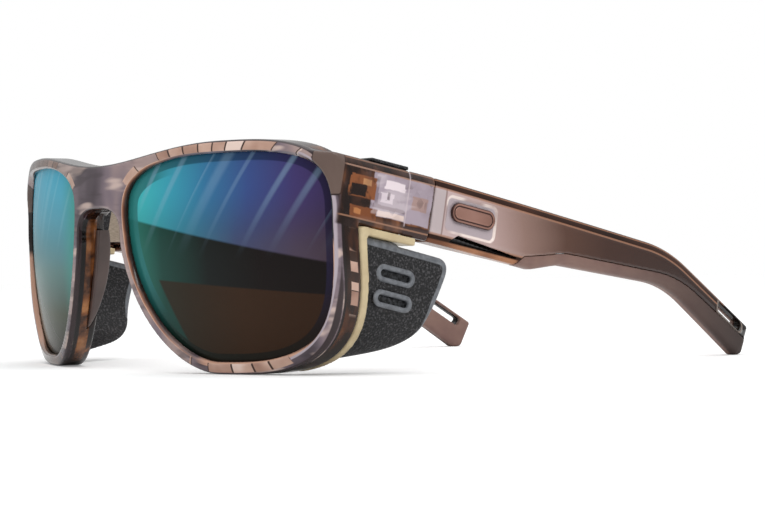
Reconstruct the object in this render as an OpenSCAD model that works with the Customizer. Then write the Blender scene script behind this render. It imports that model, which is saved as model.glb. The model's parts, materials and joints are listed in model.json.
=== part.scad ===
// Glacier glasses: wrap-around front, folding temples, clip-on side shields.
// Millimetres. +X is the wearer's left, the front faces -Y, +Z is up.
// The glasses stand on the rim bottoms and the temple tips, at z = 0.
// The origin is under the middle of the whole object.

/* [Lenses] */
// Width of one lens opening
lens_w = 56.9; // [52:0.1:60]
// Height of one lens opening
lens_h = 45.8; // [40:0.1:48]
// Gap between the two lens openings at the bridge
bridge_w = 23.4; // [20:0.1:26]
// Radius of the sphere that the lens front lies on
lens_r = 142; // [130:1:160]
// Thickness of a lens
lens_t = 2; // [1.6:0.1:2.4]

/* [Front] */
// Height of the rim below a lens
rim_w = 2.8; // [2.4:0.1:3.4]
// Depth of the front behind its face at the bridge
front_depth = 7.3; // [6:0.1:9]
// How far the top edge dips at the bridge
brow_dip = 3.8; // [2:0.1:5]
// Half the width over the end pieces
half_w = 71; // [69:0.5:74]
// Distance from the front face back to the hinge line
hinge_y = 46; // [44:0.5:48]

/* [Temples] */
// Overall depth, from the front face to the back of the temple tips
depth = 152.6; // [145:0.1:160]
// Height of a temple at the hinge
temple_h = 14.2; // [12:0.1:16]
// Thickness of a temple at the hinge
temple_t = 6.6; // [6:0.1:7.5]
// Thickness of a temple from the badge back to the tip
tip_t = 4.4; // [4:0.1:5]
// How far the temples curve in by their tips
temple_inset = 12; // [8:0.5:15]
// Downward slope of the temples behind the hinge, in degrees
temple_slope = 11.2; // [9:0.1:13]
// Slope of the bent temple ends, in degrees
tip_slope = 32.8; // [30:0.1:35]

/* [Side shields] */
// Thickness of a shield
shield_t = 1.6; // [1.2:0.1:2]
// How far a shield reaches behind the hinge line
shield_back = 4; // [3:0.5:6]
// Thickness of the shield clip
clip_t = 1.5; // [1.2:0.1:1.8]

/* [Hinges] */
// Radius of a hinge knuckle
knuckle_r = 1.9; // [1.7:0.1:2.1]
// Height of the whole hinge barrel
barrel_h = 9; // [8:0.5:10]
// Radius of the hinge screw's shank
screw_r = 0.7; // [0.6:0.05:0.8]

/* [Hidden] */
$fn = 180;

gap = 0.1;      // clearance between pieces that touch or slide
run_gap = 0.05; // radial clearance of the screw and the leaf studs
far = 60;       // a length that reaches past the front

// Lens outline: its outermost, highest, innermost and lowest points
nasal_x = bridge_w / 2;
outer_x = nasal_x + lens_w;
top_x = nasal_x + 0.53 * lens_w;
bottom_x = nasal_x + 0.46 * lens_w;
bottom_z = rim_w;
top_z = rim_w + lens_h;
outer_z = rim_w + 0.64 * lens_h;
nasal_z = rim_w + 0.75 * lens_h;
lens_bend = [3.5, 2.5, 1.88, 3.2];          // superellipse powers of the four quarters
rim_bend = [3.3, 2.5, 1.88, 3.4];
sole = 0.12;                                // drawn below the table, where the rims are cut flat
rim_grow = [2.1, rim_w, 2.5, rim_w + sole]; // rim width: outer, top, nasal, bottom
lip = 1.8;                                  // the rims stand this far in front of the lenses
groove = 1;                                 // depth of the lens groove in the rims
steps = 24;                                 // points on a quarter of an outline

// Spheres that the face and the back of the front lie on
face_r = lens_r + lip;
back_r = face_r + 5.7;
eye_z = rim_w + 0.67 * lens_h;
face_centre = [0, face_r, eye_z];
back_centre = [0, front_depth + back_r, eye_z];
arch_z = top_z - 11.1;                      // top of the nose arch
arch_start = 192;                           // outline angle where the arch leaves the rim
arch_power = 3;
nasal_flare = 18;                           // the parts beside the nose spread out to the back
nasal_span = [189, 240];                    // and cover these outline angles
flange_out = 1.9;                           // outer side of the flange that carries a nose pad
flange_side = [14, 2.9];                    // half height and reach of its side profile
pad_t = 1.7;                                // room taken by a nose pad outside it
pad_side = [15, 3.6];                       // half height and reach of the pad's side profile
pad_front = 4.6;                            // depth below the face at which the pads start

// Relief notches in the back of a rim: along it, into it, across it
notch = [4, 2.2, 1.2];
notch_out = 1.5;                            // their middle line, measured from the lens outline
top_notches = [52 : 11 : 140];              // outline angles
low_notches = [262, 276, 290];

// End pieces and hinge line
outer_face = half_w - 0.5;
inner_face = outer_face - temple_t;
hinge_z = top_z - 6.1;                      // top edge of a temple at the hinge
pin = [inner_face - 0.4, hinge_y - temple_h * sin(temple_slope) / 2, hinge_z - temple_h / 2];
end_l = 30;                                 // length of an end piece along its slope
end_round = 4;                              // radius of its front corner

// Temple side profile
ear_y = hinge_y + 0.712 * (depth - hinge_y); // where the top edge bends down
ear_top = [ear_y, hinge_z - tan(temple_slope) * (ear_y - hinge_y) - 0.9];
ear_low = [ear_y - 0.4, ear_top[1] - 8.9];
ear_part = [ear_y + 2.8, ear_top[1] - 6.8];
ear_reach = 8;                              // length of the curve on each side of the bend
knee = [hinge_y + 28.5, 22];                // lowest point of the grip's front wedge
foot_back = depth - 3.3;
foot_front = depth - 5.8;
tip_back = [depth, ear_top[1] - tan(tip_slope) * (depth - ear_y)];
part_end = [depth - 1.5, 3.4];
split_foot = [hinge_y, hinge_z] - temple_h * [sin(temple_slope), cos(temple_slope)];
grip_front = split_foot + 26.7 * [cos(temple_slope), -sin(temple_slope)];
grip_step = [hinge_y + 37.4, 25.8];
tip_skin = 1.6;                             // soft layer on the inside of a temple tip
tip_skin_y = hinge_y + 74;                  // where that layer starts
slot_l = 10;                                // cord slot, end to end
slot_r = 1.2;
slot_centre = [depth - 8.1, tip_back[1] + 2.85];

// Badge and recesses on a temple
badge_l = 13;
badge_h = 4.4;
badge_u = 11.7;                             // distance of the badge behind the hinge line
badge_w = -6.4;                             // and below the top edge
badge_t = 0.8;

// Long recess under the badge
wedge_d = 3.2;
wedge_low = 1.1 - temple_h;
wedge = [[6, wedge_low], [8.2, wedge_low + 1.7], [26.5, wedge_low + 0.3], [26.5, wedge_low]];

// Side shields
strip_span = [20, -76];                     // outline angles covered by a shield and its clip
shield_in = 1.2;                            // shield face, measured from the rim outline
clip_w = 3.2;                               // width of the clip behind the rim
web_t = 1.3;                                // plate inboard of an end piece
web_x = inner_face - 2.6;
tab_t = 1.7;                                // clip tab under an end piece
tab_past = 3.5;                             // the tab is this much longer than the hooks
hook_u = [-18.3, -7];                       // span of the hooks along the end piece
hook_w = -temple_h - gap;                   // underside of the end piece
shelf_w = hook_w - tab_t - gap;             // top of the shield below the clip tab
vent_l = 8.2;                               // vent slots and the raised rings round them
vent_r = 0.85;
vent_tilt = 13;
vents = [[hinge_y - 11, 21.1], [hinge_y - 11.9, 15.7]];
ring_w = 1.4;
ring_h = 0.5;

// ---- outlines -------------------------------------------------------------------------------

// Point at angle a on a rounded outline round one lens. grow widens it by
// [outer, top, nasal, bottom]; bend holds the power of each quarter.
function ring_point(a, grow, bend) =
    let (right = cos(a) >= 0,
         up = sin(a) >= 0,
         cx = up ? top_x : bottom_x,
         cz = right ? outer_z : nasal_z,
         rx = right ? outer_x + grow[0] - cx : cx - nasal_x + grow[2],
         rz = up ? top_z + grow[1] - cz : cz - bottom_z + grow[3],
         power = 2 / bend[up ? (right ? 0 : 1) : (right ? 3 : 2)])
    [cx + rx * sign(cos(a)) * pow(abs(cos(a)), power),
     cz + rz * sign(sin(a)) * pow(abs(sin(a)), power)];

function ring(grow, bend, from, to, n) =
    [for (i = [0 : n]) ring_point(from + (to - from) * i / n, grow, bend)];

function evenly(g) = [g, g, g, g];

function lens_outline(g) = ring(evenly(g), lens_bend, 90 / steps, 360, 4 * steps - 1);

// Top edge of the front between the bridge and the top of a rim
function brow(x) = top_z + rim_w - brow_dip * pow(cos(90 * x / top_x), 2);

// Quadratic curve from a to c that is pulled towards the corner b
function curve(a, b, c, n) =
    [for (i = [0 : n]) let (t = i / n) (1 - t) * (1 - t) * a + 2 * t * (1 - t) * b + t * t * c];

// A bend at corner b on the way from a to c
function bend(a, b, c, reach) =
    curve(b + reach * (a - b) / norm(a - b), b, b + reach * (c - b) / norm(c - b), 6);

function backwards(list) = [for (i = [len(list) - 1 : -1 : 0]) list[i]];

arch_foot = ring_point(arch_start, rim_grow, rim_bend);
half_outline = concat(
    [for (i = [1 : steps / 2]) let (x = top_x * 2 * i / steps) [x, brow(x)]],
    [for (i = [1 : steps / 2]) ring_point(90 - 180 * i / steps, rim_grow, rim_bend)],
    [for (i = [1 : steps]) ring_point(-90 * i / steps, rim_grow, rim_bend)],
    [for (i = [1 : steps]) ring_point(270 - (270 - arch_start) * i / steps, rim_grow, rim_bend)],
    [for (i = [1 : steps / 3 - 1]) let (b = 270 * i / steps)
        [arch_foot[0] * pow(cos(b), 2 / arch_power),
         arch_foot[1] + (arch_z - arch_foot[1]) * pow(sin(b), 2 / arch_power)]]);
front_outline = concat([[0, brow(0)]], half_outline, [[0, arch_z]],
    [for (p = backwards(half_outline)) [-p[0], p[1]]]);

// Temple edges, seen from the side as [y, z]
temple_top_edge = concat([[hinge_y, hinge_z]],
    bend([hinge_y, hinge_z], ear_top, tip_back, ear_reach), [tip_back]);
parting_line = concat([grip_front, grip_front + [2.4, 1.6], grip_step],
    bend(grip_step, ear_part, part_end, ear_reach), [part_end]);
grip_low_edge = concat([grip_front, knee, knee + [8.3, 0.8]],
    bend(knee + [8.3, 0.8], ear_low, [foot_front, 0], ear_reach), [[foot_front, 0], [foot_back, 0]]);

// Outer and inner sides of a temple, seen from above
function temple_outer(y) =
    outer_face - temple_inset * pow(max(0, y - hinge_y) / (depth - hinge_y), 1.3);
function temple_thick(y) =
    let (t = max(0, min(1, (y - hinge_y) / 24))) tip_t + (temple_t - tip_t) * (1 + cos(180 * t)) / 2;
side_stations = concat([hinge_y - end_round],
    [for (i = [0 : 16]) hinge_y + (depth + 1 - hinge_y) * i / 16]);

// ---- shared shapes --------------------------------------------------------------------------

// Outline of [x, z] points, extruded from y0 to y1
module along_y(points, y0, y1)
    translate([0, y1, 0]) rotate([90, 0, 0]) linear_extrude(y1 - y0) polygon(points);

// Outline of [y, z] points, extruded from x0 to x1
module along_x(points, x0, x1)
    translate([x0, 0, 0]) rotate([90, 0, 90]) linear_extrude(x1 - x0) polygon(points);

module face_ball(inset) translate(face_centre) sphere(face_r - inset);
module back_ball(inset) translate(back_centre) sphere(back_r - inset);

// Frame that follows the top edge of the end piece and temple: x, back along the slope, up
module on_slope() translate([0, hinge_y, hinge_z]) rotate([-temple_slope, 0, 0]) children();

// Box between two corners
module box(a, b) translate(a) cube(b - a);

// Slot with round ends through x0 to x1, its middle at the origin, long way along y
module slot(l, r, x0, x1) {
    box([x0, r - l / 2, -r], [x1, l / 2 - r, r]);
    for (y = [r - l / 2, l / 2 - r]) translate([x0, y, 0]) rotate([0, 90, 0]) cylinder(r = r, h = x1 - x0);
}

// Everything is drawn with y = 0 at the front face, then moved so that the origin is in the middle
module placed() translate([0, -depth / 2, 0]) children();
module placed_right() placed() mirror([1, 0, 0]) children();

// ---- front ----------------------------------------------------------------------------------

module front_slab() intersection() {
    along_y(front_outline, -1, far);
    difference() {
        face_ball(0);
        back_ball(0);
    }
}

module end_piece() intersection() {
    on_slope() box([inner_face, -end_l, -temple_h], [outer_face, -gap, 0]);
    face_ball(0);
}

// What rounds the front edge of an end piece: a circle that touches the face sphere and the outer side
module corner_cut() {
    cx = outer_face - end_round;
    cy = face_r - sqrt(pow(face_r - end_round, 2) - pow(cx, 2));
    touch_x = cx * face_r / (face_r - end_round);
    difference() {
        box([touch_x, -1, -1], [outer_face + end_round, cy, far]);
        translate([cx, cy, -2]) cylinder(r = end_round, h = far + 3);
    }
}

module lens_seat() {
    along_y(lens_outline(0), -1, far);
    intersection() {
        along_y(lens_outline(groove + gap), 0, far);
        difference() {
            face_ball(lip - gap);
            face_ball(lip + lens_t + gap);
        }
    }
}

// Relief notches in the back of a rim, at these outline angles
module notches(angles)
    for (a = angles) {
        p = ring_point(a, evenly(notch_out), lens_bend);
        run = ring_point(a + 1, evenly(notch_out), lens_bend) - p;
        y = back_centre[1] - sqrt(pow(back_r, 2) - pow(p[0], 2) - pow(p[1] - eye_z, 2));
        translate([p[0], y, p[1]]) rotate([0, -atan(run[1] / run[0]), 0])
            cube([notch[0], 2 * notch[1], notch[2]], center = true);
    }

// Strip beside the nose, d0 to d1 outside the lens outline, flared outward to the back.
// Its oval side profile reaches profile[0] up and down and profile[1] to the front and back.
module nasal_strip(d0, d1, profile) {
    pivot = [nasal_x, front_depth, 0];
    middle = [front_depth - 1, nasal_z - 15.5];
    from = nasal_span[0];
    to = nasal_span[1];
    intersection() {
        translate(pivot) rotate([0, 0, -nasal_flare]) translate(-pivot)
            along_y(concat(ring([0, 0, d0, d0], lens_bend, from, to, steps),
                           backwards(ring([0, 0, d1, d1], lens_bend, from, to, steps))), 0, far);
        along_x([for (i = [0 : 2 * steps - 1]) let (a = 180 * i / steps)
            middle + [profile[1] * cos(a), profile[0] * sin(a)]], 0, far);
    }
}

module nose_flange() intersection() {
    nasal_strip(0.3, flange_out, flange_side);
    face_ball(lip + lens_t + 1);
}

// Nose pad made larger all round by grow
module pad_shape(grow) intersection() {
    nasal_strip(flange_out + gap - grow, flange_out + pad_t + grow, pad_side + [grow, grow]);
    face_ball(pad_front + gap - grow);
}

module front() {
    difference() {
        union() {
            front_slab();
            end_piece();
            mirror([1, 0, 0]) end_piece();
        }
        for (side = [0, 1]) mirror([side, 0, 0]) {
            lens_seat();
            corner_cut();
            notches(top_notches);
            notches(low_notches);
            hinge_space(-1);
            pad_shape(gap);
        }
        box([-far, -1, -far], [far, far, 0]);
    }
    for (side = [0, 1]) mirror([side, 0, 0]) nose_flange();
}
module front_frame() color([0.42, 0.3, 0.25, 0.8]) placed() front();

module lens() color([0.1, 0.45, 0.5]) intersection() {
    along_y(lens_outline(groove), 0, far);
    difference() {
        face_ball(lip);
        face_ball(lip + lens_t);
    }
}
module lens_left() placed() lens();
module lens_right() placed_right() lens();

module nose_pad() color([0.33, 0.26, 0.24]) pad_shape(0);
module nose_pad_left() placed() nose_pad();
module nose_pad_right() placed_right() nose_pad();

// ---- hinges ---------------------------------------------------------------------------------

mid_knuckle_h = 3.4;
leaf_t = 1.2;
leaf_sink = 0.4;        // how deep a leaf sits in the plastic
leaf_l = 8;
leaf_edge = knuckle_r + 0.15;
stud_r = 0.8;
stud_l = 2.2;
stud_places = [3, 6.5]; // along a leaf, from the edge by the barrel
head_r = 1.35;
head_h = 0.8;

// Room for one side of the hinge in the plastic; way is -1 in the end piece and 1 in the temple
module hinge_space(way) translate(pin) {
    top = barrel_h / 2 + head_h + 2 * gap;
    ends = [0, way * (leaf_edge + leaf_l + gap)];
    translate([0, 0, -barrel_h / 2 - gap]) cylinder(r = leaf_edge, h = top + barrel_h / 2 + gap);
    box([-leaf_edge, min(ends), -barrel_h / 2 - gap],
        [inner_face + leaf_sink + run_gap - pin[0], max(ends), barrel_h / 2 + gap]);
    studs(way, run_gap);
}

module studs(way, clearance)
    for (u = stud_places) translate([inner_face - pin[0], way * (leaf_edge + u), 0])
        rotate([0, 90, 0]) cylinder(r = stud_r + clearance, h = leaf_sink + stud_l + clearance);

// Leaf with a knuckle over each [low, high] span of z
module hinge_leaf(way, spans) translate(pin) difference() {
    x0 = inner_face + leaf_sink - leaf_t - pin[0];
    ends = [way * leaf_edge, way * (leaf_edge + leaf_l)];
    union() {
        box([x0, min(ends), -barrel_h / 2], [x0 + leaf_t, max(ends), barrel_h / 2]);
        studs(way, 0);
        for (span = spans) {
            translate([0, 0, span[0]]) cylinder(r = knuckle_r, h = span[1] - span[0]);
            box([x0, min(0, ends[0]), span[0]], [x0 + leaf_t, max(0, ends[0]), span[1]]);
        }
    }
    translate([0, 0, -barrel_h]) cylinder(r = screw_r + run_gap, h = 2 * barrel_h);
}

module hinge_leaf_front() color("silver")
    hinge_leaf(-1, [[-barrel_h / 2, -mid_knuckle_h / 2], [mid_knuckle_h / 2, barrel_h / 2]]);
module hinge_leaf_front_left() placed() hinge_leaf_front();
module hinge_leaf_front_right() placed_right() hinge_leaf_front();

module hinge_leaf_temple() color("silver")
    hinge_leaf(1, [[gap - mid_knuckle_h / 2, mid_knuckle_h / 2 - gap]]);
module hinge_leaf_temple_left() placed() hinge_leaf_temple();
module hinge_leaf_temple_right() placed_right() hinge_leaf_temple();

module hinge_screw() color("gray") translate(pin) {
    slot_w = 0.4;
    translate([0, 0, -barrel_h / 2]) cylinder(r = screw_r, h = barrel_h + head_h / 2);
    difference() {
        translate([0, 0, barrel_h / 2 + run_gap]) cylinder(r = head_r, h = head_h);
        box([-head_r - 1, -slot_w / 2, barrel_h / 2 + head_h / 2 + run_gap],
            [head_r + 1, slot_w / 2, barrel_h / 2 + 2 * head_h]);
    }
}
module hinge_screw_left() placed() hinge_screw();
module hinge_screw_right() placed_right() hinge_screw();

// ---- temples --------------------------------------------------------------------------------

// What a side profile leaves of the temple bar
module temple_solid(profile) intersection() {
    along_x(profile, 0, 2 * far);
    linear_extrude(far) polygon(concat(
        [for (y = side_stations) [temple_outer(y), y]],
        backwards([for (y = side_stations) [temple_outer(y) - temple_thick(y), y]])));
}

// The inside layer of a temple tip, with room to spare beyond the inner side
module tip_layer() {
    stations = [for (i = [0 : 6]) tip_skin_y + (depth + 1 - tip_skin_y) * i / 6];
    linear_extrude(far) polygon(concat(
        [for (y = stations) [temple_outer(y) - tip_t + tip_skin, y]],
        backwards([for (y = stations) [temple_outer(y) - 2 * tip_t, y]])));
}

module cord_slot() translate([0, slot_centre[0], slot_centre[1]]) rotate([-tip_slope, 0, 0])
    slot(slot_l, slot_r, outer_face - 2 * temple_inset, outer_face);

temple_profile = concat(temple_top_edge, backwards(parting_line), [split_foot]);
grip_profile = concat([for (i = [1 : len(parting_line) - 1]) parting_line[i]], backwards(grip_low_edge));

// The badge lies along the outer side, which turns inward towards the back
badge_y = hinge_y + badge_u;
badge_turn = atan((temple_outer(badge_y - badge_h) - temple_outer(badge_y + badge_h)) / (2 * badge_h));
module badge_place() on_slope()
    translate([temple_outer(badge_y), badge_u, badge_w]) rotate([0, 0, badge_turn]) children();

module temple() color([0.45, 0.33, 0.29]) difference() {
    temple_solid(temple_profile);
    tip_layer();
    hinge_space(1);
    cord_slot();
    badge_place() slot(badge_l + 2 * gap, badge_h / 2 + gap, -badge_t / 2 - gap, badge_t);
    on_slope() along_x(wedge, outer_face - wedge_d, 2 * far);
}
module temple_left() placed() temple();
module temple_right() placed_right() temple();

module temple_grip() color([0.4, 0.32, 0.3]) difference() {
    union() {
        temple_solid(grip_profile);
        intersection() {
            temple_solid(temple_profile);
            tip_layer();
        }
    }
    cord_slot();
}
module temple_grip_left() placed() temple_grip();
module temple_grip_right() placed_right() temple_grip();

module temple_badge() color([0.55, 0.35, 0.3])
    badge_place() slot(badge_l, badge_h / 2, -badge_t / 2, badge_t / 2);
module temple_badge_left() placed() temple_badge();
module temple_badge_right() placed_right() temple_badge();

// ---- side shields ---------------------------------------------------------------------------

// Strip that follows the rim outline, d0 to d1 inside it, behind the back sphere shrunk by inset
module rim_strip(d0, d1, inset) intersection() {
    from = strip_span[0];
    to = strip_span[1];
    along_y(concat(ring(rim_grow - evenly(d0), rim_bend, from, to, steps),
                   backwards(ring(rim_grow - evenly(d1), rim_bend, from, to, steps))), 0, far);
    back_ball(inset);
}

module shield_clip() color([0.85, 0.78, 0.6]) {
    difference() {
        rim_strip(0, clip_w, gap);
        back_ball(gap + clip_t);
        on_slope() box([0, -far, hook_w], [2 * far, far, far]);
    }
    intersection() {
        on_slope() box([web_x, hook_u[0], hook_w - tab_t],
                       [outer_face - shield_in, hook_u[1] + tab_past, hook_w]);
        back_ball(gap);
    }
}
module shield_clip_left() placed() shield_clip();
module shield_clip_right() placed_right() shield_clip();

// Side outline of the flap as [y, z]: its low edge, the two corners behind it, then forward and up
flap_back = hinge_y + shield_back;
flap_outline = concat([[0, 0.8], [hinge_y - 22, 2.6]],
    curve([hinge_y - 11.5, 4.2], [hinge_y - 3, 6], [hinge_y - 1.2, 9.8], 6),
    curve([flap_back - 0.9, 21], [flap_back, 24], [flap_back - 3, 24.8], 4),
    [[0, 36]]);

module at_vents() for (v = vents) translate([0, v[0], v[1]]) rotate([-vent_tilt, 0, 0]) children();

// Shelf under the clip tab, web inboard of the end piece, and lip over its top edge
module shield_hook() {
    x0 = web_x - gap - web_t;
    u0 = hook_u[0] + 1;
    u1 = hook_u[1];
    shield_x = outer_face - shield_in;
    intersection() {
        on_slope() box([x0, u0, shelf_w - web_t], [shield_x, u1, shelf_w]);
        back_ball(2 * gap + clip_t);
    }
    on_slope() box([x0, u0, shelf_w - web_t], [web_x - gap, u1, gap + web_t]);
    on_slope() box([x0, u0, gap], [outer_face - 0.5, u1, gap + web_t]);
}

module shield() color([0.12, 0.12, 0.12]) {
    shield_x = outer_face - shield_in;
    difference() {
        union() {
            intersection() {
                rim_strip(shield_in, shield_in + shield_t, 2 * gap + clip_t);
                along_x(flap_outline, 0, 2 * far);
            }
            at_vents() slot(vent_l + 2 * ring_w, vent_r + ring_w, shield_x - shield_t, shield_x + ring_h);
        }
        on_slope() box([0, -far, shelf_w], [2 * far, far, far]);
        at_vents() slot(vent_l, vent_r, 0, 2 * far);
    }
    shield_hook();
}
module shield_left() placed() shield();
module shield_right() placed_right() shield();

front_frame();
lens_left();
lens_right();
nose_pad_left();
nose_pad_right();
hinge_leaf_front_left();
hinge_leaf_front_right();
hinge_leaf_temple_left();
hinge_leaf_temple_right();
hinge_screw_left();
hinge_screw_right();
temple_left();
temple_right();
temple_grip_left();
temple_grip_right();
temple_badge_left();
temple_badge_right();
shield_left();
shield_right();
shield_clip_left();
shield_clip_right();
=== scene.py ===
"""Glacier glasses: the shown pieces, their materials, and the studio round them.

Shapes are worked out in millimetres with y = 0 at the front face, and moved to the row frame when
a mesh is made. Most pieces are fields, signed distances that are negative inside, which
surface_net turns into closed meshes. Everything is drawn for the wearer's left, at +X, and
mirrored for the right.
"""

import json
import math
from functools import partialmethod

import bpy
import numpy as np
from mathutils import Matrix, Vector


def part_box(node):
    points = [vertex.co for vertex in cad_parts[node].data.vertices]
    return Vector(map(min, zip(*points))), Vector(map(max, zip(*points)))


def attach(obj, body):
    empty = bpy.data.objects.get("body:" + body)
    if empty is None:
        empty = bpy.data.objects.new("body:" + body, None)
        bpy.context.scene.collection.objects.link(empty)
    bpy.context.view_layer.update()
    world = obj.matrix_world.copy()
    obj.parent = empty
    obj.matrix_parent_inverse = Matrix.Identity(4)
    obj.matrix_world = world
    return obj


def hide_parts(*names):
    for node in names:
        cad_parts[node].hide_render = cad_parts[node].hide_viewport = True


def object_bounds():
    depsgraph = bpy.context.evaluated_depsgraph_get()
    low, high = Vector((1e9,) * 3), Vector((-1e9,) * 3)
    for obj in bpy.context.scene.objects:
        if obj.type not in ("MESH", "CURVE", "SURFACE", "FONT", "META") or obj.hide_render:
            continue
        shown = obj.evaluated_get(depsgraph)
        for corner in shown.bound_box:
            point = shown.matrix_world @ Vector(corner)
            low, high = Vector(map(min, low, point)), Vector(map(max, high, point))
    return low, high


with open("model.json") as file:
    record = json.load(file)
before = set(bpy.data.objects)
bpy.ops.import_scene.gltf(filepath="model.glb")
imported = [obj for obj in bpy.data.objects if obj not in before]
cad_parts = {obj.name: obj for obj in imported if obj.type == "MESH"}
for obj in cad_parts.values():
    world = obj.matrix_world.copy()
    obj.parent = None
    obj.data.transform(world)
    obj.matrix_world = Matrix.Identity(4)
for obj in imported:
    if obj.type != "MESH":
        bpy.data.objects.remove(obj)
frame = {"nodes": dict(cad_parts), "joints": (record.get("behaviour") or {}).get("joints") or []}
bounds_at_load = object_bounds()

MM = 0.001
STEP = 0.35  # distance between the samples that meshes are made from
SIDES = {"left": 1, "right": -1}

# ---- sizes ----

depth = 2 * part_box("temple_grip_left")[1].y / MM
face_shift = np.array([0, depth / 2, 0])  # from the row frame's origin to the front face


def box_mm(node):
    """Lowest and highest corner of a CAD node, measured from the front face."""
    return [np.array(corner) / MM + face_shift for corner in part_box(node)]


def joint_mm(name):
    """Place of a hinge joint, measured from the front face."""
    joint = next(j for j in frame["joints"] if j["name"] == name)
    return np.array(joint["pos_m"]) / MM + face_shift


GAP = 0.1  # clearance between fitted pieces
GROOVE = 1.0  # a lens reaches this far into its rim
LIP = 1.8  # and lies this far behind the front face
LENS_T = 2.0
TEMPLE_T = 6.6  # thickness of a temple at the hinge
TIP_T = 4.4  # and farther back

# Lens opening, and the places of its outermost, highest, innermost and lowest points
lens_low, lens_high = box_mm("lens_left")
nasal_x, _, bottom_z = lens_low + GROOVE
outer_x, _, top_z = lens_high - GROOVE
lens_w = outer_x - nasal_x
lens_h = top_z - bottom_z
top_x = nasal_x + 0.53 * lens_w
bottom_x = nasal_x + 0.46 * lens_w
outer_z = bottom_z + 0.64 * lens_h
nasal_z = bottom_z + 0.75 * lens_h
LENS_BEND = [3.5, 2.5, 1.88, 3.2]  # superellipse powers of the four quarters
RIM_BEND = [3.3, 2.5, 1.88, 3.4]
RIM_GROW = np.array([2.1, bottom_z, 2.5, bottom_z])  # rim width: outer, top, nasal, bottom

# Front: the spheres of its face and back, the bridge, the end pieces and the nose pads
FRONT_DEPTH = 7.3
FACE_R = 143.8
BACK_R = 149.5
eye_z = bottom_z + 0.67 * lens_h
face_centre = (0, FACE_R, eye_z)
back_centre = (0, FRONT_DEPTH + BACK_R, eye_z)
BROW_DIP = 3.8  # the bridge's top lies this far below the brows
ARCH_DROP = 11.1  # top of the arch over the nose, below the top of the lenses
ARCH_START = 192  # degrees round the rim where the arch begins
END_L = 30
NASAL_FLARE = math.radians(18)
NASAL_DROP = 15.5  # middle of a pad, below the innermost point of its lens
FLANGE_OUT = 1.9
FLANGE_SIDE = (14, 2.9)  # half height and half depth of its oval side profile
PAD_T = 1.7
PAD_SIDE = (15, 3.6)
PAD_FRONT = 4.6  # a pad starts this far behind the front face

# Temples
pin = joint_mm("temple_left_fold")
temple_low, temple_high = box_mm("temple_left")
outer_face = temple_high[0]
inner_face = outer_face - TEMPLE_T
hinge_z = temple_high[2]
hinge_y = 2 * pin[1] - temple_low[1]
temple_h = 2 * (hinge_z - pin[2])
slope = math.asin(2 * (hinge_y - pin[1]) / temple_h)
temple_inset = outer_face - TIP_T - box_mm("temple_grip_left")[0][0]
TIP_SLOPE = math.radians(32.8)
TOP_BEVEL, LOW_BEVEL = 1.9, 1.3

# Side shields: a flap that hooks over the end piece from inboard, and its clip
SHIELD_IN = 1.2  # the flap's outer side lies this far inside the end piece's
SHIELD_T = 1.6
CLIP_T = 1.5
CLIP_W = 3.2
WEB_T = 1.3  # thickness of the hook's web and shelf
HOOK_T = 0.8  # and of its lip over the end piece
HOOK_U = (-18.3, -7)  # front and rear of the clip's hold, along the end piece
TAB_T = 1.7
TAB_IN = 2.6  # the tab reaches this far inboard of the end piece
TAB_PAST = 3.5  # and this far behind the hook
hook_w = -temple_h - GAP
shelf_w = hook_w - TAB_T - GAP
vents = [(hinge_y - 11, 21.1), (hinge_y - 11.9, 15.7)]
VENT_TILT = math.radians(13)
VENT_L, VENT_R = 8.2, 0.8
VENT_WEB = 0.4  # fine mesh that closes a vent slot on the inside
RING_W, RING_H = 1.15, 0.5  # raised ring round a vent


# ---- outlines ----


def ring(angles, grow, bend):
    """Points on a rounded outline round the left lens, grown by [outer, top, nasal, bottom]."""
    a = np.radians(np.asarray(angles, float))
    c, s = np.cos(a), np.sin(a)
    right, up = c >= 0, s >= 0
    centre_x = np.where(up, top_x, bottom_x)
    centre_z = np.where(right, outer_z, nasal_z)
    reach_x = np.where(right, outer_x + grow[0] - centre_x, centre_x - nasal_x + grow[2])
    reach_z = np.where(up, top_z + grow[1] - centre_z, centre_z - bottom_z + grow[3])
    quarter = np.where(up, np.where(right, 0, 1), np.where(right, 3, 2))
    power = 2 / np.array(bend)[quarter]
    x = centre_x + reach_x * np.sign(c) * np.abs(c) ** power
    z = centre_z + reach_z * np.sign(s) * np.abs(s) ** power
    return np.stack([x, z], axis=1)


def lens_ring(grow, angles=range(1, 361)):
    return ring(angles, np.full(4, grow), LENS_BEND)


def front_outline():
    x = np.linspace(0, top_x, 60)
    brow = top_z + RIM_GROW[1] - BROW_DIP * np.cos(np.pi / 2 * x / top_x) ** 2
    rim = np.concatenate([np.arange(89, -90, -1), np.arange(270, ARCH_START - 1, -1)])
    rim = ring(rim, RIM_GROW, RIM_BEND)
    foot = rim[-1]
    arch_z = top_z - ARCH_DROP
    b = np.radians(np.arange(3, 90, 3))
    rise = (arch_z - foot[1]) * np.sin(b) ** (2 / 3)
    arch = np.stack([foot[0] * np.cos(b) ** (2 / 3), foot[1] + rise], axis=1)
    half = np.concatenate([np.stack([x, brow], axis=1), rim, arch, [[0, arch_z]]])
    return np.concatenate([half, half[-2:0:-1] * [-1, 1]])


def curve(a, b, c, count=12):
    """Points of a quadratic curve from a to c that is pulled towards the corner b."""
    t = np.linspace(0, 1, count)[:, None]
    return (1 - t) ** 2 * np.array(a) + 2 * t * (1 - t) * np.array(b) + t**2 * np.array(c)


def bend(a, b, c, reach):
    """A rounded bend at corner b on the way from a to c."""
    a, b, c = (np.array(p, float) for p in (a, b, c))
    start = b + reach * (a - b) / np.linalg.norm(a - b)
    end = b + reach * (c - b) / np.linalg.norm(c - b)
    return curve(start, b, end)


# ---- fields ----


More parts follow.
